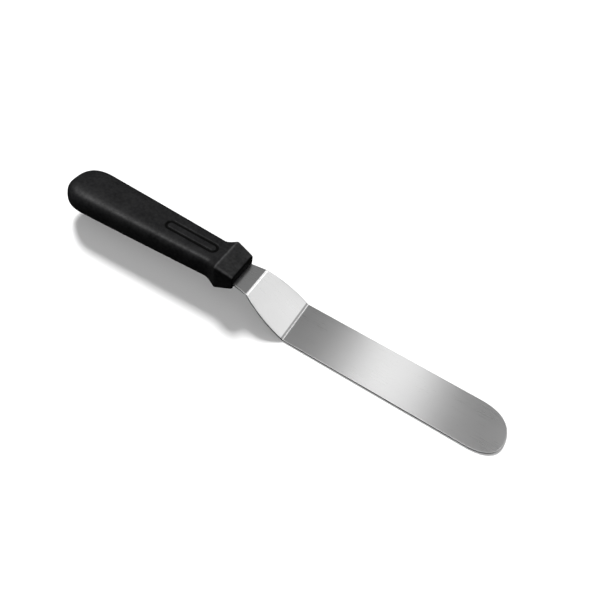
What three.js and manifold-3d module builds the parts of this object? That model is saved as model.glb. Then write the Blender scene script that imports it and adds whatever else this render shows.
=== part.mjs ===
// Offset spatula (cranked icing spatula) as it lies flat on a bench.
//
// Two pieces, as the real tool is made:
//   blade   one stainless strip: flat blade with a round tip, heel bend, sloping web, shoulder bend,
//           neck, and the tang that is hidden inside the handle
//   handle  one black polypropylene moulding: tapering grip, guard collar, a racetrack groove on
//           each face, and the slot that holds the tang, with two lock posts through its holes
//
// Millimetres, +Z up. The origin is the middle of the underside of the whole tool, so the flat blade
// lies on z = 0. +X points to the tip, and the tool is symmetric about the plane y = 0.

import * as THREE from 'three';
import { mergeVertices } from 'three/addons/utils/BufferGeometryUtils.js';
import Module from 'manifold-3d';

const wasm = await Module();
wasm.setup();

// ---------------------------------------------------------------- driving dimensions

const SHEET = 1.0;              // thickness of the stainless strip
const CLEARANCE = 0.3;          // gap kept between the tang and its slot

// Stations along X, measured from the shoulder bend, where the nominal 6 inch length starts.
const NOMINAL_LENGTH = 152.4;   // shoulder bend to tip, measured level
const WEB_RUN = 27.0;           // level length of the sloping web
const CRANK = 14.7;             // drop from the neck to the flat blade
const NECK_LENGTH = 9.3;        // shoulder bend to the front of the guard
const HANDLE_LENGTH = 116.6;    // front of the guard to the butt
const BEND_RADIUS = 2.4;        // middle of the sheet, both bends

// Half widths of the strip.
const NECK_HALF_WIDTH = 9.1;    // at the guard
const SHOULDER_HALF_WIDTH = 10.6;
const HEEL_HALF_WIDTH = 14.6;
const TIP_HALF_WIDTH = 15.0;
const WEB_BOW = 3.0;            // how far the web's edge control point stands out of a straight line
const TIP_LENGTH = 19.7;        // length of the round end
const TIP_POWER = 2.56;         // 2 is an ellipse, more is squarer
const TIP_STEPS = 40;

// Tang inside the handle.
const TANG_LENGTH = 66;
const TANG_HALF_WIDTH = 6.8;
const TANG_SHOULDER = 4;        // full neck width goes this far into the guard
const TANG_TAPER = 4;           // then narrows over this length
const TANG_END_RADIUS = 3;
const LOCK_HOLE_RADIUS = 2.5;
const LOCK_HOLE_DEPTHS = [26, 54];   // from the front of the guard

// Grip: half sizes of its rounded section.
const BUTT_HALF_WIDTH = 14.4;
const WAIST_HALF_WIDTH = 10.25;  // just behind the guard
const BUTT_HALF_HEIGHT = 8.5;
const WAIST_HALF_HEIGHT = 7.45;
const GUARD_RISE = 1.1;         // middle of the guard above the middle of the tang
const BUTT_RISE = -0.9;         // and of the butt: the grip leans back a little
const BUTT_ROUND_PLAN = 16.0;   // length of the round end seen from above
const BUTT_ROUND_SIDE = 9.5;    // length of the round end seen from the side
const BUTT_LEAN = 0.2;          // the round end slants, its top further forward than its foot
const BUTT_LEAN_LENGTH = 30;    // and the slant fades out over this length
const BUTT_OVERHANG = 0.22;     // the slant carries the foot this far behind the middle of the end
const BUTT_POWER_PLAN = 2.08;
const BUTT_POWER_SIDE = 2.2;
const GRIP_POWER_BUTT = 3.0;    // section: 2 is an ellipse, more is squarer
const GRIP_POWER_WAIST = 4.6;

// Guard collar.
const GUARD_LENGTH = 10.7;      // front face to ridge
const FLARE_LENGTH = 7.5;         // hollow sweep from the waist up to the ridge
const RIDGE_HALF_WIDTH = 11.8;
const RIDGE_HALF_HEIGHT = 9.2;
const FRONT_HALF_WIDTH = 10.3;  // before its rim is rounded
const FRONT_HALF_HEIGHT = 4.6;
const FRONT_LIFT = 0.5;         // the front face sits a little high on the neck
const RIM_LENGTH = 1.1;         // rounding of the front rim, along X
const RIM_DROP = 0.9;           // at its top and bottom edges
const RIM_SIDE = 0.4;           // at its side edges, where the neck leaves little wall
const GUARD_POWER = 13;

// Racetrack groove on the broad faces of the grip.
const GROOVE_START = 16.2;      // from the front of the guard to the nearer end of the ring
const GROOVE_LENGTH = 34.3;     // outer length of the ring
const GROOVE_WIDTH = 7.0;       // outer width of the ring
const GROOVE_LINE = 1.7;        // width of the groove itself
const GROOVE_DEPTH = 0.9;

// ---------------------------------------------------------------- derived places

const TOTAL_LENGTH = NOMINAL_LENGTH + NECK_LENGTH + HANDLE_LENGTH;
const TIP_X = TOTAL_LENGTH / 2;
const SHOULDER_X = TIP_X - NOMINAL_LENGTH;
const HEEL_X = SHOULDER_X + WEB_RUN;
const GUARD_X = SHOULDER_X - NECK_LENGTH;
const RIDGE_X = GUARD_X - GUARD_LENGTH;
const WAIST_X = RIDGE_X - FLARE_LENGTH;
const BUTT_X = -TIP_X + BUTT_OVERHANG;
const TANG_END_X = GUARD_X - TANG_LENGTH;
const BLADE_Z = SHEET / 2;              // middle of the sheet in the flat blade
const NECK_Z = BLADE_Z + CRANK;         // middle of the sheet in the neck and tang

// ---------------------------------------------------------------- helpers

function toSolid(geometry) {
    const bare = geometry.clone();
    bare.deleteAttribute('normal');
    bare.deleteAttribute('uv');
    const merged = mergeVertices(bare, 1e-5);
    return new wasm.Manifold(new wasm.Mesh({
        numProp: 3,
        vertProperties: new Float32Array(merged.attributes.position.array),
        triVerts: new Uint32Array(merged.index.array),
    }));
}

function toGeometry(solid) {
    const mesh = solid.getMesh();
    const geometry = new THREE.BufferGeometry();
    geometry.setAttribute('position', new THREE.BufferAttribute(new Float32Array(mesh.vertProperties), 3));
    geometry.setIndex(new THREE.BufferAttribute(new Uint32Array(mesh.triVerts), 1));
    geometry.computeVertexNormals();
    return geometry;
}

// A plan outline (x, y) made into a slab between two heights.
function slab(shape, bottom, top, curveSegments = 24) {
    const geometry = new THREE.ExtrudeGeometry(shape, { depth: top - bottom, bevelEnabled: false, curveSegments });
    geometry.translate(0, 0, bottom);
    return toSolid(geometry);
}

function smoothstep(t) {
    const u = Math.min(1, Math.max(0, t));
    return u * u * (3 - 2 * u);
}

// Quarter of a superellipse: 1 in the middle of the body, 0 at the far end of the round.
function roundEnd(distanceFromEnd, length, power) {
    const u = Math.max(0, 1 - distanceFromEnd / length);
    return Math.pow(Math.max(0, 1 - Math.pow(u, power)), 1 / power);
}

// ---------------------------------------------------------------- blade

// Middle line of the strip in the XZ plane, from the tang to the tip, with an arc at each bend.
function stripCentreLine() {
    const slope = Math.atan2(CRANK, WEB_RUN);
    const setback = BEND_RADIUS * Math.tan(slope / 2);
    const along = new THREE.Vector2(Math.cos(slope), -Math.sin(slope));
    const shoulder = new THREE.Vector2(SHOULDER_X, NECK_Z);
    const heel = new THREE.Vector2(HEEL_X, BLADE_Z);
    const path = new THREE.Path();
    path.moveTo(TANG_END_X, NECK_Z);
    path.lineTo(shoulder.x - setback, NECK_Z);
    path.absarc(shoulder.x - setback, NECK_Z - BEND_RADIUS, BEND_RADIUS, Math.PI / 2, Math.PI / 2 - slope, true);
    path.lineTo(heel.x - along.x * setback, heel.y - along.y * setback);
    path.absarc(heel.x + setback, BLADE_Z + BEND_RADIUS, BEND_RADIUS, -Math.PI / 2 - slope, -Math.PI / 2, false);
    path.lineTo(TIP_X + SHEET, BLADE_Z);
    return path.getPoints(8);
}

// The strip's side profile, a band of even thickness around the middle line.
function stripProfile() {
    const line = stripCentreLine().filter((p, i, all) => i === 0 || p.distanceTo(all[i - 1]) > 1e-6);
    const upper = [];
    const lower = [];
    line.forEach((point, i) => {
        const before = line[Math.max(0, i - 1)];
        const after = line[Math.min(line.length - 1, i + 1)];
        const tangent = after.clone().sub(before).normalize();
        const normal = new THREE.Vector2(-tangent.y, tangent.x).multiplyScalar(SHEET / 2);
        upper.push(point.clone().add(normal));
        lower.push(point.clone().sub(normal));
    });
    return new THREE.Shape([...lower, ...upper.reverse()]);
}

// Half of the flat blade's round tip, from its side (angle 90 degrees) to its end (0 degrees).
function tipPoint(angle) {
    const x = TIP_X - TIP_LENGTH + TIP_LENGTH * Math.pow(Math.abs(Math.cos(angle)), 2 / TIP_POWER);
    const y = TIP_HALF_WIDTH * Math.sign(Math.sin(angle)) * Math.pow(Math.abs(Math.sin(angle)), 2 / TIP_POWER);
    return new THREE.Vector2(x, y);
}

// Outline of the strip seen from above; grow = 0 for the strip, or the clearance for its slot.
function stripOutline(grow) {
    const shoulderEnd = GUARD_X - TANG_SHOULDER - grow;
    const taperEnd = shoulderEnd - TANG_TAPER;
    const neck = NECK_HALF_WIDTH + grow;
    const tang = TANG_HALF_WIDTH + grow;
    const end = TANG_END_X - grow;
    const webMiddle = (SHOULDER_X + HEEL_X) / 2;
    const bowed = (SHOULDER_HALF_WIDTH + HEEL_HALF_WIDTH) / 2 + WEB_BOW;
    const shape = new THREE.Shape();
    shape.moveTo(end, -tang + TANG_END_RADIUS);
    shape.quadraticCurveTo(end, -tang, end + TANG_END_RADIUS, -tang);
    shape.lineTo(taperEnd, -tang);
    shape.lineTo(shoulderEnd, -neck);
    shape.lineTo(GUARD_X, -neck);
    shape.lineTo(SHOULDER_X, -SHOULDER_HALF_WIDTH - grow);
    shape.quadraticCurveTo(webMiddle, -bowed - grow, HEEL_X, -HEEL_HALF_WIDTH - grow);
    for (let step = 0; step <= TIP_STEPS; step += 1) {
        const point = tipPoint(-Math.PI / 2 + Math.PI * step / TIP_STEPS);
        shape.lineTo(point.x, point.y);
    }
    shape.lineTo(HEEL_X, HEEL_HALF_WIDTH + grow);
    shape.quadraticCurveTo(webMiddle, bowed + grow, SHOULDER_X, SHOULDER_HALF_WIDTH + grow);
    shape.lineTo(GUARD_X, neck);
    shape.lineTo(shoulderEnd, neck);
    shape.lineTo(taperEnd, tang);
    shape.lineTo(end + TANG_END_RADIUS, tang);
    shape.quadraticCurveTo(end, tang, end, tang - TANG_END_RADIUS);
    shape.closePath();
    return shape;
}

// A round plug through the tang's middle plane at each lock hole.
function lockPlugs(radius, halfHeight) {
    return LOCK_HOLE_DEPTHS.map((depth) => {
        const plug = new THREE.CylinderGeometry(radius, radius, 2 * halfHeight, 32);
        plug.rotateX(Math.PI / 2);
        plug.translate(GUARD_X - depth, 0, NECK_Z);
        return toSolid(plug);
    });
}

function makeBlade() {
    const band = new THREE.ExtrudeGeometry(stripProfile(), { depth: 4 * TIP_HALF_WIDTH, bevelEnabled: false });
    band.translate(0, 0, -2 * TIP_HALF_WIDTH);
    band.rotateX(Math.PI / 2);
    let solid = toSolid(band).intersect(slab(stripOutline(0), -SHEET, NECK_Z + 2 * SHEET));
    for (const hole of lockPlugs(LOCK_HOLE_RADIUS, SHEET)) {
        solid = solid.subtract(hole);
    }
    return toGeometry(solid);
}

// ---------------------------------------------------------------- handle

// Half width, half height and squareness of the handle's section at a station.
function gripSection(x) {
    const straightLength = WAIST_X - BUTT_X - BUTT_ROUND_PLAN;
    const alongGrip = THREE.MathUtils.clamp((x - BUTT_X - BUTT_ROUND_PLAN) / straightLength, 0, 1);
    let halfWidth = THREE.MathUtils.lerp(BUTT_HALF_WIDTH, WAIST_HALF_WIDTH, alongGrip);
    let halfHeight = THREE.MathUtils.lerp(BUTT_HALF_HEIGHT, WAIST_HALF_HEIGHT, alongGrip);
    let power = THREE.MathUtils.lerp(GRIP_POWER_BUTT, GRIP_POWER_WAIST, alongGrip);
    let middle = NECK_Z + THREE.MathUtils.lerp(BUTT_RISE, GUARD_RISE, (x - BUTT_X) / HANDLE_LENGTH);
    halfWidth *= roundEnd(x - BUTT_X, BUTT_ROUND_PLAN, BUTT_POWER_PLAN);
    halfHeight *= roundEnd(x - BUTT_X, BUTT_ROUND_SIDE, BUTT_POWER_SIDE);
    if (x > WAIST_X) {
        const flare = Math.pow(Math.min(1, (x - WAIST_X) / FLARE_LENGTH), 2);
        const taper = Math.max(0, (x - RIDGE_X) / GUARD_LENGTH);
        halfWidth = THREE.MathUtils.lerp(WAIST_HALF_WIDTH, RIDGE_HALF_WIDTH, flare);
        halfHeight = THREE.MathUtils.lerp(WAIST_HALF_HEIGHT, RIDGE_HALF_HEIGHT, flare);
        halfWidth += taper * (FRONT_HALF_WIDTH - RIDGE_HALF_WIDTH);
        halfHeight += taper * (FRONT_HALF_HEIGHT - RIDGE_HALF_HEIGHT);
        middle += taper * FRONT_LIFT;
        const rim = Math.min(1, Math.max(0, (x - GUARD_X + RIM_LENGTH) / RIM_LENGTH));
        const inset = 1 - Math.sqrt(1 - rim * rim);
        halfWidth -= inset * RIM_SIDE;
        halfHeight -= inset * RIM_DROP;
        power = THREE.MathUtils.lerp(GRIP_POWER_WAIST, GUARD_POWER, flare);
    }
    return { halfWidth, halfHeight, power, middle };
}

// Stations: close together in the round butt and the flare, wider along the straight grip.
function gripStations() {
    const stations = [];
    const buttSteps = 16;
    for (let i = 1; i <= buttSteps; i += 1) {
        stations.push(BUTT_X + BUTT_ROUND_PLAN * (1 - Math.cos((Math.PI / 2) * i / buttSteps)));
    }
    const gripSteps = 12;
    for (let i = 1; i <= gripSteps; i += 1) {
        stations.push(THREE.MathUtils.lerp(BUTT_X + BUTT_ROUND_PLAN, WAIST_X, i / gripSteps));
    }
    const flareSteps = 8;
    for (let i = 1; i <= flareSteps; i += 1) {
        stations.push(WAIST_X + FLARE_LENGTH * i / flareSteps);
    }
    const rimSteps = 4;
    for (let i = 0; i <= rimSteps; i += 1) {
        stations.push(GUARD_X - RIM_LENGTH * (1 - Math.sin((Math.PI / 2) * i / rimSteps)));
    }
    return stations;
}

// The handle without its cuts: a loft of rounded sections, closed by a point at the butt.
function gripBody() {
    const around = 56;
    const stations = gripStations();
    const positions = [BUTT_X, 0, NECK_Z + BUTT_RISE];
    for (const x of stations) {
        const { halfWidth, halfHeight, power, middle } = gripSection(x);
        const lean = BUTT_LEAN * Math.max(0, 1 - (x - BUTT_X) / BUTT_LEAN_LENGTH);
        for (let i = 0; i < around; i += 1) {
            const angle = 2 * Math.PI * i / around;
            const c = Math.cos(angle);
            const s = Math.sin(angle);
            const y = halfWidth * Math.sign(c) * Math.pow(Math.abs(c), 2 / power);
            const z = halfHeight * Math.sign(s) * Math.pow(Math.abs(s), 2 / power);
            positions.push(x + lean * z, y, middle + z);
        }
    }
    const index = [];
    const ring = (row, i) => 1 + row * around + (i % around);
    const last = stations.length - 1;
    const frontCentre = positions.length / 3;
    positions.push(GUARD_X, 0, gripSection(GUARD_X).middle);
    for (let i = 0; i < around; i += 1) {
        index.push(0, ring(0, i + 1), ring(0, i));
        for (let row = 0; row < last; row += 1) {
            index.push(ring(row, i), ring(row, i + 1), ring(row + 1, i));
            index.push(ring(row, i + 1), ring(row + 1, i + 1), ring(row + 1, i));
        }
        index.push(frontCentre, ring(last, i), ring(last, i + 1));
    }
    const geometry = new THREE.BufferGeometry();
    geometry.setAttribute('position', new THREE.Float32BufferAttribute(positions, 3));
    geometry.setIndex(index);
    return toSolid(geometry);
}

// A stadium outline around a middle line along X.
function stadium(centreX, length, width) {
    const radius = width / 2;
    const straight = length / 2 - radius;
    const shape = new THREE.Shape();
    shape.absarc(centreX + straight, 0, radius, -Math.PI / 2, Math.PI / 2, false);
    shape.absarc(centreX - straight, 0, radius, Math.PI / 2, 3 * Math.PI / 2, false);
    shape.closePath();
    return shape;
}

// The groove rings, one pressed into each broad face. Their floors follow the taper of the faces.
function grooveRings() {
    const centreX = GUARD_X - GROOVE_START - GROOVE_LENGTH / 2;
    const outline = stadium(centreX, GROOVE_LENGTH, GROOVE_WIDTH);
    outline.holes.push(stadium(centreX, GROOVE_LENGTH - 2 * GROOVE_LINE, GROOVE_WIDTH - 2 * GROOVE_LINE));
    const { halfHeight, middle } = gripSection(centreX);
    const lean = Math.atan2(GUARD_RISE - BUTT_RISE, HANDLE_LENGTH);
    const faceSlope = Math.atan2(BUTT_HALF_HEIGHT - WAIST_HALF_HEIGHT, WAIST_X - BUTT_X - BUTT_ROUND_PLAN);
    const clearHeight = 3;                   // the cutter stands this far out of the face
    const cutter = { depth: GROOVE_DEPTH + clearHeight, bevelEnabled: false, curveSegments: 12 };
    return [1, -1].map((side) => {
        const ring = new THREE.ExtrudeGeometry(outline, cutter);
        ring.translate(-centreX, 0, -GROOVE_DEPTH);
        ring.rotateY(faceSlope);
        ring.translate(0, 0, halfHeight);
        if (side < 0) {
            ring.rotateX(Math.PI);
        }
        ring.rotateY(-lean);
        ring.translate(centreX, 0, middle);
        return toSolid(ring);
    });
}

function makeHandle() {
    const halfSlot = SHEET / 2 + CLEARANCE;
    let slot = slab(stripOutline(CLEARANCE), NECK_Z - halfSlot, NECK_Z + halfSlot);
    for (const post of lockPlugs(LOCK_HOLE_RADIUS - CLEARANCE, 2 * SHEET)) {
        slot = slot.subtract(post);
    }
    let solid = gripBody().subtract(slot);
    for (const ring of grooveRings()) {
        solid = solid.subtract(ring);
    }
    return toGeometry(solid);
}

// ---------------------------------------------------------------- assembly

const stainless = new THREE.MeshStandardMaterial({ color: 0xc4c6c8, metalness: 1.0, roughness: 0.32 });
const blackPlastic = new THREE.MeshStandardMaterial({ color: 0x151516, metalness: 0.0, roughness: 0.5 });

function piece(name, geometry, material) {
    const mesh = new THREE.Mesh(geometry, material);
    mesh.name = name;
    return mesh;
}

const spatula = new THREE.Group();
spatula.add(piece('blade', makeBlade(), stainless));
spatula.add(piece('handle', makeHandle(), blackPlastic));

export default spatula;
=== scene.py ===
"""Offset spatula: a satin stainless blade with a cranked neck in a black moulded handle.

Both CAD nodes are replaced by finer meshes of the same shape. All lengths are in metres, in the frame
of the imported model: the flat blade lies on z = 0, +X points to the tip and y = 0 is the middle plane.
"""

import math

import bmesh
import bpy
from mathutils import Matrix, Vector


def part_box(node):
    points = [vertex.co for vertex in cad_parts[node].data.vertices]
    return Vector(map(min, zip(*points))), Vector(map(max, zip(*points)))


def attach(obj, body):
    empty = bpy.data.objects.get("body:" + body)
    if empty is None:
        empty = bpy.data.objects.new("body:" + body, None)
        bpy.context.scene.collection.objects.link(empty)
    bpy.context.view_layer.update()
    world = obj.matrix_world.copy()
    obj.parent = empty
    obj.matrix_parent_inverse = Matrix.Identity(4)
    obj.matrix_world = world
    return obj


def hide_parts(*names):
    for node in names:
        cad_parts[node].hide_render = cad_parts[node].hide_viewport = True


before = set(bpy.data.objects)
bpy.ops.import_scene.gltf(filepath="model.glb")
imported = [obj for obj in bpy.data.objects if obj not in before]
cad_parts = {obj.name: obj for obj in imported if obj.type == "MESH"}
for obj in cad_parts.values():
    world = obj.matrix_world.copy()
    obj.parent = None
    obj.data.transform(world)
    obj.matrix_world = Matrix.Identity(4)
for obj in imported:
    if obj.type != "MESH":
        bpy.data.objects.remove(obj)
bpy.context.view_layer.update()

MM = 0.001

# ------------------------------------------------------------------ places taken from the frame

blade_low, blade_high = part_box("blade")
handle_low, handle_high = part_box("handle")
TIP_X = blade_high.x
TANG_END_X = blade_low.x
BUTT_OVERHANG = 0.22 * MM          # the slanted butt reaches this far behind the middle of its end
BUTT_X = handle_low.x + BUTT_OVERHANG
GUARD_X = handle_high.x

# ------------------------------------------------------------------ sizes of the strip

SHEET = 1.0 * MM
BEND_RADIUS = 2.4 * MM           # middle of the sheet
NOMINAL_LENGTH = 152.4 * MM      # shoulder bend to tip
WEB_RUN = 27.0 * MM
CRANK = 14.7 * MM
NECK_HALF_WIDTH = 9.1 * MM
SHOULDER_HALF_WIDTH = 10.6 * MM
HEEL_HALF_WIDTH = 14.6 * MM
TIP_HALF_WIDTH = 15.0 * MM
WEB_BOW = 3.0 * MM
TIP_LENGTH = 19.7 * MM
TIP_POWER = 2.56
TANG_HALF_WIDTH = 6.8 * MM
TANG_SHOULDER = 4 * MM
TANG_TAPER = 4 * MM
TANG_END_RADIUS = 3 * MM
LOCK_HOLE_RADIUS = 2.5 * MM
LOCK_HOLE_DEPTHS = (26 * MM, 54 * MM)
CLEARANCE = 0.3 * MM
SHOULDER_HIGHLIGHT_SHIFT = 0.15 * MM        # painted highlight: a bright line painted over the shoulder bend
SHOULDER_HIGHLIGHT_HALF = 0.62 * MM
HEEL_SHADE_SHIFT = -0.55 * MM        # painted shade: a dark line painted in the hollow of the heel bend
HEEL_SHADE_HALF = 0.5 * MM
HEEL_HIGHLIGHT_SHIFT = 0.42 * MM          # and a painted highlight line beside it
HEEL_HIGHLIGHT_HALF = 0.24 * MM
PAINTED_LINE_SOFTNESS = 0.15 * MM
EDGE_ROUND = 0.27 * MM           # the stamped and tumbled edge of the strip

SHOULDER_X = TIP_X - NOMINAL_LENGTH
HEEL_X = SHOULDER_X + WEB_RUN
BLADE_Z = SHEET / 2
NECK_Z = BLADE_Z + CRANK

# ------------------------------------------------------------------ sizes of the handle

BUTT_HALF_WIDTH = 14.4 * MM
WAIST_HALF_WIDTH = 10.25 * MM
BUTT_HALF_HEIGHT = 8.5 * MM
WAIST_HALF_HEIGHT = 7.45 * MM
GUARD_RISE = 1.1 * MM
BUTT_RISE = -0.9 * MM
BUTT_ROUND_PLAN = 16.0 * MM
BUTT_ROUND_SIDE = 9.5 * MM
BUTT_LEAN = 0.2                  # the round end slants: its top is further forward than its foot
BUTT_LEAN_LENGTH = 30 * MM
BUTT_POWER_PLAN = 2.08
BUTT_POWER_SIDE = 2.2
GRIP_POWER_BUTT = 3.0
GRIP_POWER_WAIST = 4.6
GUARD_LENGTH = 10.7 * MM
FLARE_LENGTH = 7.5 * MM
RIDGE_HALF_WIDTH = 11.8 * MM
RIDGE_HALF_HEIGHT = 9.2 * MM
FRONT_HALF_WIDTH = 10.3 * MM
FRONT_HALF_HEIGHT = 4.6 * MM
FRONT_LIFT = 0.5 * MM
RIM_LENGTH = 1.1 * MM
RIM_DROP = 0.9 * MM
RIM_SIDE = 0.4 * MM
GUARD_POWER = 13
GROOVE_START = 16.2 * MM
GROOVE_LENGTH = 34.3 * MM
GROOVE_WIDTH = 7.0 * MM
GROOVE_LINE = 1.7 * MM
GROOVE_DEPTH = 0.9 * MM
GROOVE_FLATNESS = 1.25           # 1 is a round-bottomed groove, more has a flat bottom
GROOVE_MARGIN = 1.5 * MM         # the fine sections reach this far past the ring
RIDGE_MARGIN = 1 * MM            # and this far to both sides of the ridge
RIDGE_SOFTNESS = 0.3 * MM        # how far the flare and the taper blend into each other at the ridge
PARTING_LINE = 0.06 * MM         # height of the mould's parting line on the two sides
GATE_RADIUS = 1.6 * MM           # shallow dimple at the butt, where the plastic was let in
GATE_DEPTH = 0.25 * MM
GATE_REACH = 1 * MM              # only sections this close to the end can hold it
BROAD_FACE = 0.5                 # points above this share of the half height are on a broad face
SIDE_MIDDLE = 0.01               # points below this share are on the parting line
RIDGE_HIGHLIGHT_HALF = 0.55 * MM           # half width of the painted highlight line on the ridge
FRONT_SHADE_AND_MATT = 0.7 * MM            # the front face and most of its rim get the same painted shade and raised roughness as the groove rings
FRONT_FADE = 0.3 * MM
CORNER_HIGHLIGHT = 0.8                # the long corners get a little less painted highlight than the ridge
CORNER_FROM = 0.84               # share of the half sizes where the painted highlight on the long corners begins
CORNER_TO = 0.93                 # and where it is full

RIDGE_X = GUARD_X - GUARD_LENGTH
WAIST_X = RIDGE_X - FLARE_LENGTH
HANDLE_LENGTH = GUARD_X - BUTT_X


def lerp(a, b, t):
    return a + (b - a) * t


def clamp(t):
    return min(1.0, max(0.0, t))


def new_object(name, vertices, faces):
    mesh = bpy.data.meshes.new(name)
    mesh.from_pydata([tuple(v) for v in vertices], [], faces)
    mesh.validate()
    built = bmesh.new()
    built.from_mesh(mesh)
    bmesh.ops.recalc_face_normals(built, faces=built.faces)
    built.to_mesh(mesh)
    built.free()
    mesh.shade_smooth()
    obj = bpy.data.objects.new(name, mesh)
    bpy.context.scene.collection.objects.link(obj)
    return obj


def cut(target, cutter):
    """Subtracts cutter from target, leaves the result in target's mesh and removes the cutter."""
    modifier = target.modifiers.new("cut", "BOOLEAN")
    modifier.operation = "DIFFERENCE"
    modifier.solver = "EXACT"
    modifier.object = cutter
    bpy.context.view_layer.update()
    depsgraph = bpy.context.evaluated_depsgraph_get()
    result = bpy.data.meshes.new_from_object(target.evaluated_get(depsgraph))
    target.modifiers.clear()
    target.data = result
    bpy.data.objects.remove(cutter)


# ------------------------------------------------------------------ blade


class StripPath:
    """The strip's middle line: level tang and neck, bend, sloping web, bend, level blade.

    at(s) gives the point and the upward normal at a distance s from the end of the tang.
    """

    def __init__(self):
        self.slope = math.atan2(CRANK, WEB_RUN)
        setback = BEND_RADIUS * math.tan(self.slope / 2)
        arc = BEND_RADIUS * self.slope
        web = math.hypot(CRANK, WEB_RUN) - 2 * setback
        self.neck_end = SHOULDER_X - setback - TANG_END_X
        self.web_start = self.neck_end + arc
        self.web_end = self.web_start + web
        self.blade_start = self.web_end + arc
        self.heel_x = HEEL_X + setback
        self.length = self.blade_start + TIP_X - self.heel_x

    def at(self, s):
        slope = self.slope
        if s <= self.neck_end:
            return Vector((TANG_END_X + s, 0, NECK_Z)), Vector((0, 0, 1))
        neck_x = TANG_END_X + self.neck_end
        if s <= self.web_start:
            turn = (s - self.neck_end) / BEND_RADIUS
            normal = Vector((math.sin(turn), 0, math.cos(turn)))
            return Vector((neck_x, 0, NECK_Z - BEND_RADIUS)) + BEND_RADIUS * normal, normal
        normal = Vector((math.sin(slope), 0, math.cos(slope)))
        start = Vector((neck_x, 0, NECK_Z - BEND_RADIUS)) + BEND_RADIUS * normal
        along = Vector((math.cos(slope), 0, -math.sin(slope)))
        if s <= self.web_end:
            return start + along * (s - self.web_start), normal
        if s <= self.blade_start:
            turn = slope - (s - self.web_end) / BEND_RADIUS
            normal = Vector((math.sin(turn), 0, math.cos(turn)))
            return Vector((self.heel_x, 0, BLADE_Z + BEND_RADIUS)) - BEND_RADIUS * normal, normal
        return Vector((self.heel_x + s - self.blade_start, 0, BLADE_Z)), Vector((0, 0, 1))


def strip_half_width(x):
    """Half width of the strip at a level distance x, before the round tip."""
    shoulder_end = GUARD_X - TANG_SHOULDER
    taper_end = shoulder_end - TANG_TAPER
    if x < TANG_END_X + TANG_END_RADIUS:
        u = clamp(1 - (x - TANG_END_X) / TANG_END_RADIUS)
        return TANG_HALF_WIDTH - TANG_END_RADIUS * (1 - math.sqrt(1 - u * u))
    if x < taper_end:
        return TANG_HALF_WIDTH
    if x < shoulder_end:
        return lerp(TANG_HALF_WIDTH, NECK_HALF_WIDTH, (x - taper_end) / TANG_TAPER)
    if x < GUARD_X:
        return NECK_HALF_WIDTH
    if x < SHOULDER_X:
        return lerp(NECK_HALF_WIDTH, SHOULDER_HALF_WIDTH, (x - GUARD_X) / (SHOULDER_X - GUARD_X))
    if x < HEEL_X:
        t = (x - SHOULDER_X) / WEB_RUN
        bowed = (SHOULDER_HALF_WIDTH + HEEL_HALF_WIDTH) / 2 + WEB_BOW
        return (1 - t) ** 2 * SHOULDER_HALF_WIDTH + 2 * t * (1 - t) * bowed + t * t * HEEL_HALF_WIDTH
    return lerp(HEEL_HALF_WIDTH, TIP_HALF_WIDTH, (x - HEEL_X) / (TIP_X - TIP_LENGTH - HEEL_X))


def strip_stations(path):
    """(s, half width) pairs along the strip, close together where it bends or rounds."""
    spans = [
        (0, TANG_END_RADIUS, 8),
        (TANG_END_RADIUS, GUARD_X - TANG_SHOULDER - TANG_TAPER - TANG_END_X, 16),
        (GUARD_X - TANG_SHOULDER - TANG_TAPER - TANG_END_X, GUARD_X - TANG_SHOULDER - TANG_END_X, 4),
        (GUARD_X - TANG_SHOULDER - TANG_END_X, GUARD_X - TANG_END_X, 4),
        (GUARD_X - TANG_END_X, path.neck_end, 8),
        (path.neck_end, path.web_start, 12),
        (path.web_start, path.web_end, 28),
        (path.web_end, path.blade_start, 12),
        (path.blade_start, path.length - TIP_LENGTH, 40),
    ]
    pairs = []
    for start, end, count in spans:
        for i in range(count):
            s = lerp(start, end, i / count)
            pairs.append((s, strip_half_width(path.at(s)[0].x)))
    tip_steps = 56
    last_angle = 88.5                # the very end is left blunt, for the rows across it
    for i in range(tip_steps + 1):
        angle = math.radians(90 - last_angle * i / tip_steps)
        s = path.length - TIP_LENGTH * (1 - math.cos(angle) ** (2 / TIP_POWER))
        pairs.append((s, TIP_HALF_WIDTH * math.sin(angle) ** (2 / TIP_POWER)))
    return pairs


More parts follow.
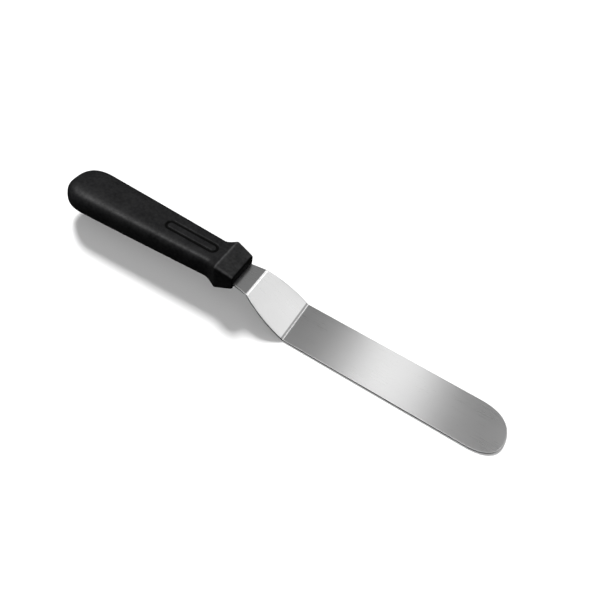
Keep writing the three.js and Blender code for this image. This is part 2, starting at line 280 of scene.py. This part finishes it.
def make_blade():
    """A closed mesh of the strip: rows across its faces, joined by a rounded rim all the way round."""
    path = StripPath()
    pairs = strip_stations(path)
    across = 28
    rows = len(pairs)
    normals = []
    for i in range(rows):
        before = pairs[max(0, i - 1)]
        after = pairs[min(rows - 1, i + 1)]
        ds, dw = after[0] - before[0], after[1] - before[1]
        length = math.hypot(ds, dw)
        normals.append((-dw / length, ds / length))
    normals[0] = (-0.7, 0.714)       # the tang's corner faces half back and half sideways
    loop = [(s, w, n[0], n[1]) for (s, w), n in zip(pairs, normals)]
    s, w = pairs[-1]
    loop += [(s, w * (1 - 2 * j / across), 1.0, 0.0) for j in range(1, across)]
    loop += [(s, -w, n[0], -n[1]) for (s, w), n in zip(reversed(pairs), reversed(normals))]
    s, w = pairs[0]
    loop += [(s, w * (2 * j / across - 1), -1.0, 0.0) for j in range(1, across)]

    vertices = []

    def place(s, y, lift):
        point, normal = path.at(s)
        vertices.append(point + normal * lift + Vector((0, y, 0)))
        return len(vertices) - 1

    rim_steps = 8
    rings = []
    for step in range(rim_steps + 1):
        angle = math.pi / 2 - math.pi * step / rim_steps
        inset = EDGE_ROUND * (1 - math.cos(angle))
        core = SHEET / 2 - EDGE_ROUND
        flank = 4 * math.sin(angle)      # steep, so that the rim is upright between its two rounds
        lift = core * max(-1, min(1, flank)) + EDGE_ROUND * math.sin(angle)
        rings.append([place(s - ns * inset, y - ny * inset, lift) for s, y, ns, ny in loop])
    faces = []
    count = len(loop)
    for upper, lower in zip(rings, rings[1:]):
        for k in range(count):
            faces.append((upper[k], upper[(k + 1) % count], lower[(k + 1) % count], lower[k]))
    for ring, lift in ((rings[0], SHEET / 2), (rings[-1], -SHEET / 2)):
        grid = []
        for i in range(rows):
            far, near = ring[i], ring[2 * rows + across - 2 - i]
            inner = []
            for j in range(1, across):
                if i == rows - 1:
                    inner.append(ring[rows - 1 + j])
                elif i == 0:
                    inner.append(ring[count - j])
                else:
                    s, w = pairs[i]
                    ns, ny = normals[i]
                    y = (w - ny * EDGE_ROUND) * (1 - 2 * j / across)
                    inner.append(place(s - ns * EDGE_ROUND, y, lift))
            grid.append([far, *inner, near])
        for a, b in zip(grid, grid[1:]):
            for j in range(across):
                faces.append((a[j], a[j + 1], b[j + 1], b[j]))
    blade = new_object("blade_strip", vertices, faces)
    for depth in LOCK_HOLE_DEPTHS:
        cut(blade, cylinder("lock_hole", GUARD_X - depth, LOCK_HOLE_RADIUS, 2 * SHEET))
    return blade


def cylinder(name, x, radius, half_height):
    """A round plug standing through the tang."""
    built = bmesh.new()
    place = Matrix.Translation((x, 0, NECK_Z))
    bmesh.ops.create_cone(
        built, cap_ends=True, segments=48, radius1=radius, radius2=radius, depth=2 * half_height, matrix=place
    )
    mesh = bpy.data.meshes.new(name)
    built.to_mesh(mesh)
    built.free()
    obj = bpy.data.objects.new(name, mesh)
    bpy.context.scene.collection.objects.link(obj)
    return obj


# ------------------------------------------------------------------ handle


def round_end(distance, length, power):
    u = max(0.0, 1 - distance / length)
    return max(0.0, 1 - u**power) ** (1 / power)


def soft_lower(a, b):
    """The lower of two heights, blended where they cross."""
    return (a + b - math.hypot(a - b, RIDGE_SOFTNESS)) / 2


def grip_section(x):
    """Half width, half height, squareness and middle height of the handle at a station."""
    along = clamp((x - BUTT_X - BUTT_ROUND_PLAN) / (WAIST_X - BUTT_X - BUTT_ROUND_PLAN))
    half_width = lerp(BUTT_HALF_WIDTH, WAIST_HALF_WIDTH, along) * round_end(
        x - BUTT_X, BUTT_ROUND_PLAN, BUTT_POWER_PLAN
    )
    half_height = lerp(BUTT_HALF_HEIGHT, WAIST_HALF_HEIGHT, along) * round_end(
        x - BUTT_X, BUTT_ROUND_SIDE, BUTT_POWER_SIDE
    )
    power = lerp(GRIP_POWER_BUTT, GRIP_POWER_WAIST, along)
    middle = NECK_Z + lerp(BUTT_RISE, GUARD_RISE, (x - BUTT_X) / HANDLE_LENGTH)
    if x > WAIST_X:
        flare = ((x - WAIST_X) / FLARE_LENGTH) ** 2
        taper = (x - RIDGE_X) / GUARD_LENGTH
        rim = clamp((x - GUARD_X + RIM_LENGTH) / RIM_LENGTH)
        inset = 1 - math.sqrt(1 - rim * rim)
        half_width = soft_lower(
            lerp(WAIST_HALF_WIDTH, RIDGE_HALF_WIDTH, flare),
            lerp(RIDGE_HALF_WIDTH, FRONT_HALF_WIDTH, taper),
        )
        half_height = soft_lower(
            lerp(WAIST_HALF_HEIGHT, RIDGE_HALF_HEIGHT, flare),
            lerp(RIDGE_HALF_HEIGHT, FRONT_HALF_HEIGHT, taper),
        )
        half_width -= inset * RIM_SIDE
        half_height -= inset * RIM_DROP
        power = lerp(GRIP_POWER_WAIST, GUARD_POWER, min(1.0, flare))
        middle += max(0.0, taper) * FRONT_LIFT
    return half_width, half_height, power, middle


def groove_depth(x, y):
    """Depth of the racetrack groove at a point of the face: a line around a stadium."""
    straight = (GROOVE_LENGTH - GROOVE_WIDTH) / 2
    beyond = max(0.0, abs(x - GUARD_X + GROOVE_START + GROOVE_LENGTH / 2) - straight)
    off = abs(math.hypot(beyond, y) - (GROOVE_WIDTH - GROOVE_LINE) / 2)
    return GROOVE_DEPTH * clamp(GROOVE_FLATNESS - (off / (GROOVE_LINE / 2)) ** 2)


def handle_stations():
    """Places of the handle's sections, close together at the butt, the groove, the ridge and the rim."""
    stations = []
    butt_steps = 40
    for i in range(1, butt_steps + 1):
        stations.append(BUTT_X + BUTT_ROUND_PLAN * (1 - math.cos(math.pi / 2 * i / butt_steps)))
    groove_back = GUARD_X - GROOVE_START - GROOVE_LENGTH - GROOVE_MARGIN
    groove_front = GUARD_X - GROOVE_START + GROOVE_MARGIN
    spans = [
        (BUTT_X + BUTT_ROUND_PLAN, groove_back, 30),
        (groove_back, groove_front, 130),
        (groove_front, RIDGE_X - RIDGE_MARGIN, 24),
        (RIDGE_X - RIDGE_MARGIN, RIDGE_X + RIDGE_MARGIN, 16),
        (RIDGE_X + RIDGE_MARGIN, GUARD_X - RIM_LENGTH, 12),
    ]
    for start, end, count in spans:
        stations += [lerp(start, end, i / count) for i in range(1, count + 1)]
    rim_steps = 8
    for i in range(1, rim_steps + 1):
        stations.append(GUARD_X - RIM_LENGTH * (1 - math.sin(math.pi / 2 * i / rim_steps)))
    return stations


def quarter_section(half_width, half_height, power):
    """Points of a superellipse from the middle of its face to the middle of its side."""
    dense = 400
    outline = []
    for i in range(dense + 1):
        angle = math.pi / 2 * i / dense
        y = half_width * math.sin(angle) ** (2 / power)
        z = half_height * math.cos(angle) ** (2 / power)
        outline.append((y, z))
    lengths = [0.0]
    for a, b in zip(outline, outline[1:]):
        lengths.append(lengths[-1] + math.hypot(b[0] - a[0], b[1] - a[1]))
    face_share, face_steps, side_steps = 0.3, 18, 32
    wanted = [face_share * i / face_steps for i in range(face_steps)]
    wanted += [lerp(face_share, 1.0, i / side_steps) for i in range(side_steps + 1)]
    points = []
    k = 0
    for share in wanted:
        target = share * lengths[-1]
        while k < dense - 1 and lengths[k + 1] < target:
            k += 1
        span = max(1e-12, lengths[k + 1] - lengths[k])
        t = clamp((target - lengths[k]) / span)
        points.append((lerp(outline[k][0], outline[k + 1][0], t), lerp(outline[k][1], outline[k + 1][1], t)))
    return points


def make_handle_body():
    stations = handle_stations()
    vertices = [Vector((BUTT_X + GATE_DEPTH, 0, NECK_Z + BUTT_RISE))]
    around = 0
    for x in stations:
        half_width, half_height, power, middle = grip_section(x)
        quarter = quarter_section(half_width, half_height, power)
        ring = [(y, z) for y, z in quarter]
        ring += [(y, -z) for y, z in reversed(quarter[:-1])]
        ring += [(-y, -z) for y, z in quarter[1:]]
        ring += [(-y, z) for y, z in reversed(quarter[1:-1])]
        around = len(ring)
        for y, z in ring:
            if abs(z) > BROAD_FACE * half_height:
                z -= math.copysign(groove_depth(x, y), z)
            if abs(z) < SIDE_MIDDLE * half_height:
                y += math.copysign(PARTING_LINE, y)
            gate = clamp(1 - math.hypot(y, z) / GATE_RADIUS) if x < BUTT_X + GATE_REACH else 0
            dimple = GATE_DEPTH * gate * gate * (3 - 2 * gate)
            lean = BUTT_LEAN * z * (1 - clamp((x - BUTT_X) / BUTT_LEAN_LENGTH))
            vertices.append(Vector((x + dimple + lean, y, middle + z)))
    faces = []
    last = len(stations) - 1

    def index(row, k):
        return 1 + row * around + k % around

    for k in range(around):
        faces.append((0, index(0, k), index(0, k + 1)))
        for row in range(last):
            faces.append((index(row, k), index(row + 1, k), index(row + 1, k + 1), index(row, k + 1)))
    faces.append([index(last, k) for k in reversed(range(around))])
    return new_object("handle_grip", vertices, faces)


def make_slot():
    """The room for the tang: its outline with the clearance all round, less the two lock posts."""
    stations = []
    steps = 10
    for i in range(steps + 1):
        stations.append(TANG_END_X + TANG_END_RADIUS * (1 - math.cos(math.pi / 2 * i / steps)))
    shoulder_end = GUARD_X - TANG_SHOULDER
    stations += [shoulder_end - TANG_TAPER, shoulder_end, GUARD_X + 2 * MM]
    half = SHEET / 2 + CLEARANCE
    just_inside = 0.001 * MM         # the open end keeps the neck's width at the guard
    vertices = []
    for x in stations:
        width = strip_half_width(min(x, GUARD_X - just_inside)) + CLEARANCE
        shift = -CLEARANCE if x < GUARD_X else 0
        for y, z in ((width, half), (width, -half), (-width, -half), (-width, half)):
            vertices.append(Vector((x + shift, y, NECK_Z + z)))
    faces = [(3, 2, 1, 0)]
    last = 4 * (len(stations) - 1)
    for row in range(0, last, 4):
        for k in range(4):
            faces.append((row + k, row + (k + 1) % 4, row + 4 + (k + 1) % 4, row + 4 + k))
    faces.append((last, last + 1, last + 2, last + 3))
    slot = new_object("slot", vertices, faces)
    for depth in LOCK_HOLE_DEPTHS:
        cut(slot, cylinder("post", GUARD_X - depth, LOCK_HOLE_RADIUS - CLEARANCE, 2 * SHEET))
    return slot


def edge_highlight_at(x, y, z):
    """How much painted highlight a point of the guard gets, from 0 to 1: on its ridge and its long corners.
    """
    if x < WAIST_X:
        return 0
    half_width, half_height, _, middle = grip_section(x)
    across, up = abs(y) / half_width, abs(z - middle) / half_height
    if up < CORNER_FROM:
        return 0
    ridge = math.exp(-(((x - RIDGE_X) / RIDGE_HIGHLIGHT_HALF) ** 2))
    if x <= RIDGE_X:
        return ridge
    corner = CORNER_HIGHLIGHT * clamp((min(across, up) - CORNER_FROM) / (CORNER_TO - CORNER_FROM))
    return max(ridge, corner)


def add_highlight_and_shade(handle):
    """Point attributes for the material: painted highlight on the guard's ridge and long corners, and painted
    shade with raised roughness in the groove rings and on the guard's front face.
    """
    edge_highlight = handle.data.attributes.new("edge_highlight", "FLOAT", "POINT")
    shade_and_matt = handle.data.attributes.new("shade_and_matt", "FLOAT", "POINT")
    for vertex, highlighted, shaded in zip(handle.data.vertices, edge_highlight.data, shade_and_matt.data):
        x, y, z = vertex.co
        # Painted highlight mask: the guard's ridge and long corners.
        highlighted.value = edge_highlight_at(x, y, z)
        # Painted shade mask, which also raises the roughness: the groove rings and the guard's front face.
        groove = clamp(groove_depth(x, y) / GROOVE_DEPTH) if abs(z - NECK_Z) > GROOVE_WIDTH / 2 else 0
        front = clamp((x - GUARD_X + FRONT_SHADE_AND_MATT) / FRONT_FADE)
        shaded.value = max(groove, front)


def make_handle():
    handle = make_handle_body()
    cut(handle, make_slot())
    add_highlight_and_shade(handle)
    return handle


# ------------------------------------------------------------------ materials


class Nodes:
    """Short names for adding and joining shader nodes."""

    def __init__(self, name):
        self.material = bpy.data.materials.new(name)
        self.material.use_nodes = True
        self.tree = self.material.node_tree
        self.shader = self.tree.nodes["Principled BSDF"]

    def add(self, kind, **settings):
        node = self.tree.nodes.new(kind)
        for key, value in settings.items():
            setattr(node, key, value)
        return node

    def join(self, source, target):
        self.tree.links.new(source, target)

    def stretched(self, coordinates, scale):
        mapping = self.add("ShaderNodeMapping")
        mapping.inputs["Scale"].default_value = scale
        self.join(coordinates, mapping.inputs["Vector"])
        return mapping.outputs["Vector"]

    def noise(self, vector, scale, detail=2.0, roughness=0.5):
        node = self.add("ShaderNodeTexNoise")
        node.inputs["Scale"].default_value = scale
        node.inputs["Detail"].default_value = detail
        node.inputs["Roughness"].default_value = roughness
        self.join(vector, node.inputs["Vector"])
        return node.outputs["Fac"]

    def ramp(self, value, low, high, from_value, to_value):
        node = self.add("ShaderNodeMapRange")
        node.inputs["From Min"].default_value = low
        node.inputs["From Max"].default_value = high
        node.inputs["To Min"].default_value = from_value
        node.inputs["To Max"].default_value = to_value
        self.join(value, node.inputs["Value"])
        return node.outputs["Result"]

    def math(self, operation, a, b):
        node = self.add("ShaderNodeMath", operation=operation)
        for socket, value in zip(node.inputs, (a, b)):
            if isinstance(value, (int, float)):
                socket.default_value = value
            else:
                self.join(value, socket)
        return node.outputs["Value"]

    def band(self, value, centre, half_width, softness):
        """1 near the centre, 0 away from it, with soft sides."""
        off = self.math("ABSOLUTE", self.math("SUBTRACT", value, centre), 0)
        return self.ramp(off, half_width - softness, half_width + softness, 1, 0)

    def mix_colour(self, factor, dark, light):
        node = self.add("ShaderNodeMix", data_type="RGBA")
        self.join(factor, node.inputs["Factor"])
        node.inputs["A"].default_value = (*dark, 1)
        node.inputs["B"].default_value = (*light, 1)
        return node.outputs["Result"]

    def blend(self, factor, colour, other):
        node = self.add("ShaderNodeMix", data_type="RGBA")
        self.join(factor, node.inputs["Factor"])
        self.join(colour, node.inputs["A"])
        node.inputs["B"].default_value = (*other, 1)
        return node.outputs["Result"]

    def bump(self, height, distance, strength, normal=None):
        node = self.add("ShaderNodeBump")
        node.inputs["Distance"].default_value = distance
        node.inputs["Strength"].default_value = strength
        self.join(height, node.inputs["Height"])
        if normal is not None:
            self.join(normal, node.inputs["Normal"])
        return node.outputs["Normal"]


def stainless():
    """Satin stainless, brushed along the strip, with a painted highlight line over the shoulder bend and
    painted shade and highlight lines at the heel bend.
    """
    n = Nodes("satin_stainless")
    place = n.add("ShaderNodeTexCoord").outputs["Object"]
    fine = n.noise(n.stretched(place, (60, 9000, 60)), 1.0, 3.0, 0.6)
    broad = n.noise(n.stretched(place, (12, 900, 12)), 1.0, 2.0)
    cloud = n.noise(place, 35.0, 3.0)
    grain = n.math("ADD", n.math("MULTIPLY", fine, 0.65), n.math("MULTIPLY", broad, 0.35))
    steel = n.mix_colour(grain, (0.60, 0.60, 0.60), (0.64, 0.64, 0.64))
    split = n.add("ShaderNodeSeparateXYZ")
    n.join(place, split.inputs["Vector"])
    along = split.outputs["X"]
    # Painted light on the bends: a highlight line over the shoulder bend, a shade line in the hollow of the
    # heel bend and a highlight line beside it.
    shoulder_highlight = n.band(along, SHOULDER_X + SHOULDER_HIGHLIGHT_SHIFT, SHOULDER_HIGHLIGHT_HALF, PAINTED_LINE_SOFTNESS)
    heel_shade = n.band(along, HEEL_X + HEEL_SHADE_SHIFT, HEEL_SHADE_HALF, PAINTED_LINE_SOFTNESS)
    heel_highlight = n.band(along, HEEL_X + HEEL_HIGHLIGHT_SHIFT, HEEL_HIGHLIGHT_HALF, PAINTED_LINE_SOFTNESS)
    steel = n.blend(shoulder_highlight, steel, (0.93, 0.93, 0.93))
    steel = n.blend(heel_shade, steel, (0.26, 0.26, 0.26))
    steel = n.blend(heel_highlight, steel, (0.80, 0.80, 0.80))
    n.join(steel, n.shader.inputs["Base Color"])
    rough = n.ramp(grain, 0.3, 0.7, 0.27, 0.31)
    rough = n.math("ADD", rough, n.ramp(cloud, 0.35, 0.7, -0.01, 0.01))
    n.join(rough, n.shader.inputs["Roughness"])
    n.join(n.bump(grain, 0.000002, 0.25), n.shader.inputs["Normal"])
    n.shader.inputs["Metallic"].default_value = 1.0
    n.shader.inputs["Anisotropic"].default_value = 0.7
    tangent = n.add("ShaderNodeTangent", direction_type="UV_MAP", uv_map="grain")
    n.join(tangent.outputs["Tangent"], n.shader.inputs["Tangent"])
    return n.material


def black_plastic():
    """Black polypropylene from a spark-eroded mould: fine pebbles, cloudy gloss, a painted highlight on the
    guard's edges and painted shade in the groove rings and on the guard's front face.
    """
    n = Nodes("black_polypropylene")
    place = n.add("ShaderNodeTexCoord").outputs["Object"]
    pebble = n.noise(place, 2600.0, 2.0, 0.55)
    mottle = n.noise(place, 620.0, 2.0, 0.6)
    cloud = n.noise(place, 90.0, 3.0)
    tone = n.math("ADD", n.math("MULTIPLY", mottle, 0.6), n.math("MULTIPLY", cloud, 0.4))
    tone = n.ramp(tone, 0.35, 0.65, 0, 1)
    colour = n.mix_colour(tone, (0.004, 0.004, 0.0045), (0.016, 0.016, 0.0165))
    # Painted highlight: the guard's ridge and long corners are painted lighter.
    edge_highlight = n.add("ShaderNodeAttribute", attribute_name="edge_highlight").outputs["Fac"]
    highlighted = n.math("MULTIPLY", edge_highlight, n.ramp(mottle, 0.3, 0.6, 0.55, 1))
    colour = n.blend(highlighted, colour, (0.06, 0.06, 0.061))
    # Painted shade: the groove rings and the guard's front face are painted near black, and their roughness
    # is raised as well.
    shade_and_matt = n.add("ShaderNodeAttribute", attribute_name="shade_and_matt").outputs["Fac"]
    n.join(n.blend(shade_and_matt, colour, (0.0005, 0.0005, 0.0005)), n.shader.inputs["Base Color"])
    rough = n.math("ADD", n.ramp(tone, 0, 1, 0.50, 0.40), n.ramp(shade_and_matt, 0, 1, 0, 0.55))
    n.join(rough, n.shader.inputs["Roughness"])
    pebbles = n.bump(pebble, 0.00004, 0.35)
    n.join(n.bump(mottle, 0.00005, 0.3, pebbles), n.shader.inputs["Normal"])
    n.shader.inputs["Specular IOR Level"].default_value = 0.12
    return n.material


def floor_material():
    n = Nodes("pale_floor")
    place = n.add("ShaderNodeTexCoord").outputs["Object"]
    cloud = n.noise(place, 3.0, 2.0)
    n.join(n.mix_colour(cloud, (0.90, 0.90, 0.90), (0.92, 0.92, 0.92)), n.shader.inputs["Base Color"])
    n.shader.inputs["Roughness"].default_value = 0.9
    n.shader.inputs["Specular IOR Level"].default_value = 0.0
    return n.material


def add_grain_map(obj):
    """A UV map whose first axis runs across the strip, for the direction of the brushing."""
    layer = obj.data.uv_layers.new(name="grain")
    for polygon in obj.data.polygons:
        for loop in polygon.loop_indices:
            co = obj.data.vertices[obj.data.loops[loop].vertex_index].co
            layer.data[loop].uv = (co.y * 10 + 0.5, co.x * 10 + 0.5)


# ------------------------------------------------------------------ camera, lights and floor

CAMERA_TARGET = Vector((8.3 * MM, 15.1 * MM, 0))
CAMERA_DISTANCE = 332.5 * MM
CAMERA_AZIMUTH = 17.6
CAMERA_ELEVATION = 52.18
CAMERA_ROLL = 15.0
CAMERA_LENS = 35.0

KEY_DIRECTION = (-0.55, 0.52, 0.64)
KEY_ANGLE = 17
KEY_STRENGTH = 5.5
FILL_DIRECTION = (0.25, -0.80, 0.42)
FILL_ANGLE = 30
FILL_STRENGTH = 1.8
FLOOR_LIGHT = 0.03
CEILING_LIGHT = 0.22
DARK_BELOW = -0.1                # heights of a unit direction between which the room brightens
BRIGHT_ABOVE = 0.5


def make_camera():
    azimuth = math.radians(CAMERA_AZIMUTH)
    elevation = math.radians(CAMERA_ELEVATION)
    back = Vector(
        (
            math.sin(azimuth) * math.cos(elevation),
            -math.cos(azimuth) * math.cos(elevation),
            math.sin(elevation),
        )
    )
    right = Vector((math.cos(azimuth), math.sin(azimuth), 0))
    up = back.cross(right)
    roll = math.radians(CAMERA_ROLL)
    turned_right = right * math.cos(roll) + up * math.sin(roll)
    turned_up = back.cross(turned_right)
    data = bpy.data.cameras.new("camera")
    data.lens = CAMERA_LENS
    data.sensor_width = 36
    data.clip_start = 0.01
    data.clip_end = 50
    camera = bpy.data.objects.new("camera", data)
    rotation = Matrix((turned_right, turned_up, back)).transposed()
    camera.matrix_world = Matrix.Translation(CAMERA_TARGET + back * CAMERA_DISTANCE) @ rotation.to_4x4()
    bpy.context.scene.collection.objects.link(camera)
    bpy.context.scene.camera = camera


def softbox(name, direction, distance, width, length, radiance, target=(0, 0, 0)):
    """A rectangular light facing the target; its length runs as near to Y as it can."""
    out = Vector(direction).normalized()
    across = Vector((0, 1, 0)).cross(out).normalized()
    data = bpy.data.lights.new(name, "AREA")
    data.shape = "RECTANGLE"
    data.size = width
    data.size_y = length
    data.energy = radiance * math.pi * width * length
    light = bpy.data.objects.new(name, data)
    rotation = Matrix((across, out.cross(across), out)).transposed().to_4x4()
    light.matrix_world = Matrix.Translation(Vector(target) + out * distance) @ rotation
    bpy.context.scene.collection.objects.link(light)
    return light


def only_for(light, *objects):
    """The light reaches only these objects; everything still casts its shadow on them."""
    receivers = bpy.data.collections.new(light.name + "_receivers")
    for obj in objects:
        receivers.objects.link(obj)
    light.light_linking.receiver_collection = receivers


def make_lights(floor, blade, handle):
    """Strips and boxes over the steel, two boxes over the handle and two soft suns on the floor.

    Each softbox has its direction, distance, width, length and radiance, and its target.
    """
    blade_middle = (60 * MM, 0, 0)
    shoulder = (SHOULDER_X, 0, NECK_Z)
    butt_side = (-80 * MM, 0, 0)
    only_for(softbox("blade_strip_light", (0.022, 0.56, 0.83), 1.0, 0.19, 1.0, 1.40, blade_middle), blade)
    only_for(softbox("web_box", (0.66, 0.515, 0.547), 1.0, 0.40, 0.6, 1.38), blade)
    only_for(softbox("shoulder_strip", (0.42, 0.57, 0.70), 4.0, 0.32, 2.4, 5.0, shoulder), blade)
    only_for(softbox("edge_box", (0, -0.30, 0.95), 1.0, 1.2, 0.5, 2.5), blade)
    only_for(softbox("handle_box", (-0.45, -0.17, 0.88), 1.2, 0.7, 0.36, 18.5, butt_side), handle)
    only_for(softbox("guard_box", (0.30, 0.54, 0.79), 1.2, 0.5, 0.5, 5.0), handle)
    only_for(sun("floor_key", KEY_DIRECTION, KEY_STRENGTH, KEY_ANGLE), floor)
    only_for(sun("floor_fill", FILL_DIRECTION, FILL_STRENGTH, FILL_ANGLE), floor)
    make_world()


def sun(name, direction, strength, angle):
    data = bpy.data.lights.new(name, "SUN")
    data.energy = strength
    data.angle = math.radians(angle)
    light = bpy.data.objects.new(name, data)
    light.rotation_mode = "QUATERNION"
    light.rotation_quaternion = Vector(direction).to_track_quat("Z", "Y")
    bpy.context.scene.collection.objects.link(light)
    return light


def make_world():
    """A dim room, darker towards and below the horizon, and white where the camera looks past the floor."""
    world = bpy.data.worlds.new("studio")
    world.use_nodes = True
    tree = world.node_tree
    background = tree.nodes["Background"]
    split = tree.nodes.new("ShaderNodeSeparateXYZ")
    tree.links.new(tree.nodes.new("ShaderNodeTexCoord").outputs["Generated"], split.inputs["Vector"])
    room = tree.nodes.new("ShaderNodeMapRange")
    room.inputs["From Min"].default_value = DARK_BELOW
    room.inputs["From Max"].default_value = BRIGHT_ABOVE
    room.inputs["To Min"].default_value = FLOOR_LIGHT
    room.inputs["To Max"].default_value = CEILING_LIGHT
    tree.links.new(split.outputs["Z"], room.inputs["Value"])
    seen = tree.nodes.new("ShaderNodeMapRange")
    seen.inputs["To Max"].default_value = 1.0
    tree.links.new(room.outputs["Result"], seen.inputs["To Min"])
    tree.links.new(tree.nodes.new("ShaderNodeLightPath").outputs["Is Camera Ray"], seen.inputs["Value"])
    tree.links.new(seen.outputs["Result"], background.inputs["Strength"])
    background.inputs["Color"].default_value = (1, 1, 1, 1)
    bpy.context.scene.world = world


def make_floor():
    size = 20.0
    vertices = [(-size, -size, 0), (size, -size, 0), (size, size, 0), (-size, size, 0)]
    floor = new_object("floor", [Vector(v) for v in vertices], [(0, 1, 2, 3)])
    floor.location.z = -0.0001
    # The black handle's flank and the steel's edges would otherwise pick up the white floor.
    floor.visible_diffuse = False
    floor.visible_glossy = False
    floor.data.materials.append(floor_material())
    return floor


# ------------------------------------------------------------------ build

make_camera()

blade = make_blade()
add_grain_map(blade)
blade.data.materials.append(stainless())
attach(blade, "root")
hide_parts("blade")

handle = make_handle()
handle.data.materials.append(black_plastic())
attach(handle, "root")
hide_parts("handle")

make_lights(make_floor(), blade, handle)
bpy.context.scene.view_settings.view_transform = "Standard"
